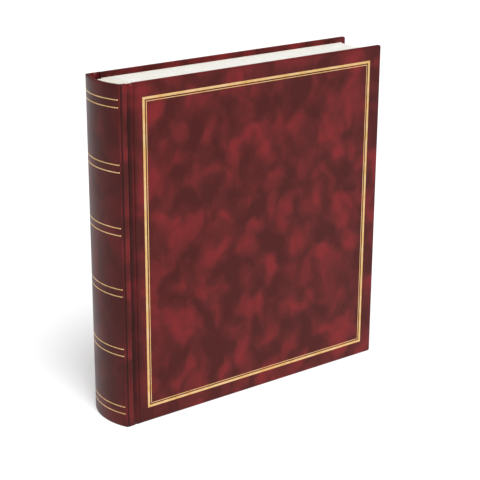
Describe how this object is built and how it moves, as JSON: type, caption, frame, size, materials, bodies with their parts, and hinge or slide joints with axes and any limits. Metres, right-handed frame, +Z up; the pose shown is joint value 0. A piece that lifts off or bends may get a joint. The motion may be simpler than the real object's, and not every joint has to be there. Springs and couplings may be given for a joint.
{
  "type": "stamp album",
  "caption": "Closed bound album with marbled leatherette boards, rounded spine, gold lines and card leaves with glassine pockets that turn on linen guards.",
  "frame": {"origin": "middle of the footprint on the surface that the album stands on", "axes": "+Z up along the spine, +X from the spine to the fore-edge, +Y from the front cover to the back cover"},
  "size_m": [0.299, 0.0552, 0.315],
  "materials": {
    "leatherette": "smooth marbled burgundy leatherette, satin",
    "gilt_foil": "hot-stamped gold foil",
    "greyboard": "solid grey bookbinding board",
    "endpaper": "uncoated white endpaper",
    "leaf_card": "smooth white card",
    "linen": "white book linen",
    "glassine": "translucent glassine"
  },
  "bodies": {
    "spine": {"spine_board": "greyboard", "spine_covering": "leatherette", "spine_gilt_bands": "gilt_foil", "spine_lining": "linen", "binding_stubs": "leaf_card", "leaf_guards": "linen", "endpaper_folds": "endpaper", "front_joint_strip": "leatherette", "back_joint_strip": "leatherette"},
    "front_cover": {"front_board": "greyboard", "front_covering": "leatherette", "front_gilt_frame": "gilt_foil", "front_pastedown": "endpaper"},
    "back_cover": {"back_board": "greyboard", "back_covering": "leatherette", "back_pastedown": "endpaper"},
    "front_flyleaf": {"front_flyleaf": "endpaper"},
    "back_flyleaf": {"back_flyleaf": "endpaper"},
    "leaf_01": {"leaf_01": "leaf_card", "leaf_01_glassine": "glassine"},
    "leaf_02": {"leaf_02": "leaf_card", "leaf_02_glassine": "glassine"},
    "leaf_03": {"leaf_03": "leaf_card", "leaf_03_glassine": "glassine"},
    "leaf_04": {"leaf_04": "leaf_card", "leaf_04_glassine": "glassine"},
    "leaf_05": {"leaf_05": "leaf_card", "leaf_05_glassine": "glassine"},
    "leaf_06": {"leaf_06": "leaf_card", "leaf_06_glassine": "glassine"},
    "leaf_07": {"leaf_07": "leaf_card", "leaf_07_glassine": "glassine"},
    "leaf_08": {"leaf_08": "leaf_card", "leaf_08_glassine": "glassine"},
    "leaf_09": {"leaf_09": "leaf_card", "leaf_09_glassine": "glassine"},
    "leaf_10": {"leaf_10": "leaf_card", "leaf_10_glassine": "glassine"},
    "leaf_11": {"leaf_11": "leaf_card", "leaf_11_glassine": "glassine"},
    "leaf_12": {"leaf_12": "leaf_card", "leaf_12_glassine": "glassine"},
    "leaf_13": {"leaf_13": "leaf_card", "leaf_13_glassine": "glassine"},
    "leaf_14": {"leaf_14": "leaf_card", "leaf_14_glassine": "glassine"},
    "leaf_15": {"leaf_15": "leaf_card", "leaf_15_glassine": "glassine"},
    "leaf_16": {"leaf_16": "leaf_card", "leaf_16_glassine": "glassine"},
    "leaf_17": {"leaf_17": "leaf_card", "leaf_17_glassine": "glassine"},
    "leaf_18": {"leaf_18": "leaf_card", "leaf_18_glassine": "glassine"},
    "leaf_19": {"leaf_19": "leaf_card", "leaf_19_glassine": "glassine"},
    "leaf_20": {"leaf_20": "leaf_card", "leaf_20_glassine": "glassine"}
  },
  "joints": [
    {"name": "front_cover_hinge", "type": "hinge", "parent": "spine", "child": "front_cover", "pos_m": [-0.1325, -0.02785, 0], "axis": [0, 0, -1], "range_deg": [0, 180], "deforming": ["front_joint_strip", "leaf_guards", "endpaper_folds"]},
    {"name": "back_cover_hinge", "type": "hinge", "parent": "spine", "child": "back_cover", "pos_m": [-0.1325, 0.02785, 0], "axis": [0, 0, 1], "range_deg": [0, 180], "deforming": ["back_joint_strip"]},
    {"name": "front_flyleaf_hinge", "type": "hinge", "parent": "spine", "child": "front_flyleaf", "pos_m": [-0.1325, -0.0262, 0], "axis": [0, 0, -1], "range_deg": [0, 150.5]},
    {"name": "back_flyleaf_hinge", "type": "hinge", "parent": "spine", "child": "back_flyleaf", "pos_m": [-0.1325, 0.0262, 0], "axis": [0, 0, 1], "range_deg": [0, 150.5]},
    {"name": "leaf_01_hinge", "type": "hinge", "parent": "spine", "child": "leaf_01", "pos_m": [-0.1325, -0.02458, 0], "axis": [0, 0, -1], "range_deg": [0, 130.5]},
    {"name": "leaf_02_hinge", "type": "hinge", "parent": "spine", "child": "leaf_02", "pos_m": [-0.1325, -0.02227, 0], "axis": [0, 0, -1], "range_deg": [0, 109.18]},
    {"name": "leaf_03_hinge", "type": "hinge", "parent": "spine", "child": "leaf_03", "pos_m": [-0.1325, -0.01996, 0], "axis": [0, 0, -1], "range_deg": [0, 91.64]},
    {"name": "leaf_04_hinge", "type": "hinge", "parent": "spine", "child": "leaf_04", "pos_m": [-0.1325, -0.01765, 0], "axis": [0, 0, -1], "range_deg": [0, 77.27]},
    {"name": "leaf_05_hinge", "type": "hinge", "parent": "spine", "child": "leaf_05", "pos_m": [-0.1325, -0.01533, 0], "axis": [0, 0, -1], "range_deg": [0, 65.56]},
    {"name": "leaf_06_hinge", "type": "hinge", "parent": "spine", "child": "leaf_06", "pos_m": [-0.1325, -0.01302, 0], "axis": [0, 0, -1], "range_deg": [0, 56.03]},
    {"name": "leaf_07_hinge", "type": "hinge", "parent": "spine", "child": "leaf_07", "pos_m": [-0.1325, -0.01071, 0], "axis": [0, 0, -1], "range_deg": [0, 48.29]},
    {"name": "leaf_08_hinge", "type": "hinge", "parent": "spine", "child": "leaf_08", "pos_m": [-0.1325, -0.0084, 0], "axis": [0, 0, -1], "range_deg": [0, 41.96]},
    {"name": "leaf_09_hinge", "type": "hinge", "parent": "spine", "child": "leaf_09", "pos_m": [-0.1325, -0.00608, 0], "axis": [0, 0, -1], "range_deg": [0, 36.76]},
    {"name": "leaf_10_hinge", "type": "hinge", "parent": "spine", "child": "leaf_10", "pos_m": [-0.1325, -0.00377, 0], "axis": [0, 0, -1], "range_deg": [0, 32.41]},
    {"name": "leaf_11_hinge", "type": "hinge", "parent": "spine", "child": "leaf_11", "pos_m": [-0.1325, -0.00146, 0], "axis": [0, 0, -1], "range_deg": [0, 28.72]},
    {"name": "leaf_12_hinge", "type": "hinge", "parent": "spine", "child": "leaf_12", "pos_m": [-0.1325, 0.00085, 0], "axis": [0, 0, -1], "range_deg": [0, 25.51]},
    {"name": "leaf_13_hinge", "type": "hinge", "parent": "spine", "child": "leaf_13", "pos_m": [-0.1325, 0.00317, 0], "axis": [0, 0, -1], "range_deg": [0, 22.62]},
    {"name": "leaf_14_hinge", "type": "hinge", "parent": "spine", "child": "leaf_14", "pos_m": [-0.1325, 0.00548, 0], "axis": [0, 0, -1], "range_deg": [0, 19.96]},
    {"name": "leaf_15_hinge", "type": "hinge", "parent": "spine", "child": "leaf_15", "pos_m": [-0.1325, 0.00779, 0], "axis": [0, 0, -1], "range_deg": [0, 17.44]},
    {"name": "leaf_16_hinge", "type": "hinge", "parent": "spine", "child": "leaf_16", "pos_m": [-0.1325, 0.0101, 0], "axis": [0, 0, -1], "range_deg": [0, 15.01]},
    {"name": "leaf_17_hinge", "type": "hinge", "parent": "spine", "child": "leaf_17", "pos_m": [-0.1325, 0.01242, 0], "axis": [0, 0, -1], "range_deg": [0, 12.61]},
    {"name": "leaf_18_hinge", "type": "hinge", "parent": "spine", "child": "leaf_18", "pos_m": [-0.1325, 0.01473, 0], "axis": [0, 0, -1], "range_deg": [0, 10.24]},
    {"name": "leaf_19_hinge", "type": "hinge", "parent": "spine", "child": "leaf_19", "pos_m": [-0.1325, 0.01704, 0], "axis": [0, 0, -1], "range_deg": [0, 7.87]},
    {"name": "leaf_20_hinge", "type": "hinge", "parent": "spine", "child": "leaf_20", "pos_m": [-0.1325, 0.01935, 0], "axis": [0, 0, -1], "range_deg": [0, 5.5]}
  ],
  "couplings": [
    {"joint": "front_flyleaf_hinge", "follows": "front_cover_hinge", "ratio": 0.83333},
    {"joint": "back_flyleaf_hinge", "follows": "back_cover_hinge", "ratio": 0.83333},
    {"joint": "leaf_01_hinge", "follows": "front_cover_hinge", "ratio": 0.72222},
    {"joint": "leaf_02_hinge", "follows": "front_cover_hinge", "ratio": 0.60379},
    {"joint": "leaf_03_hinge", "follows": "front_cover_hinge", "ratio": 0.50632},
    {"joint": "leaf_04_hinge", "follows": "front_cover_hinge", "ratio": 0.42652},
    {"joint": "leaf_05_hinge", "follows": "front_cover_hinge", "ratio": 0.36145},
    {"joint": "leaf_06_hinge", "follows": "front_cover_hinge", "ratio": 0.30852},
    {"joint": "leaf_07_hinge", "follows": "front_cover_hinge", "ratio": 0.26548},
    {"joint": "leaf_08_hinge", "follows": "front_cover_hinge", "ratio": 0.23034},
    {"joint": "leaf_09_hinge", "follows": "front_cover_hinge", "ratio": 0.20142},
    {"joint": "leaf_10_hinge", "follows": "front_cover_hinge", "ratio": 0.17731},
    {"joint": "leaf_11_hinge", "follows": "front_cover_hinge", "ratio": 0.1568},
    {"joint": "leaf_12_hinge", "follows": "front_cover_hinge", "ratio": 0.13892},
    {"joint": "leaf_13_hinge", "follows": "front_cover_hinge", "ratio": 0.1229},
    {"joint": "leaf_14_hinge", "follows": "front_cover_hinge", "ratio": 0.10812},
    {"joint": "leaf_15_hinge", "follows": "front_cover_hinge", "ratio": 0.09413},
    {"joint": "leaf_16_hinge", "follows": "front_cover_hinge", "ratio": 0.08059},
    {"joint": "leaf_17_hinge", "follows": "front_cover_hinge", "ratio": 0.0673},
    {"joint": "leaf_18_hinge", "follows": "front_cover_hinge", "ratio": 0.0541},
    {"joint": "leaf_19_hinge", "follows": "front_cover_hinge", "ratio": 0.04094},
    {"joint": "leaf_20_hinge", "follows": "front_cover_hinge", "ratio": 0.02778}
  ]
}
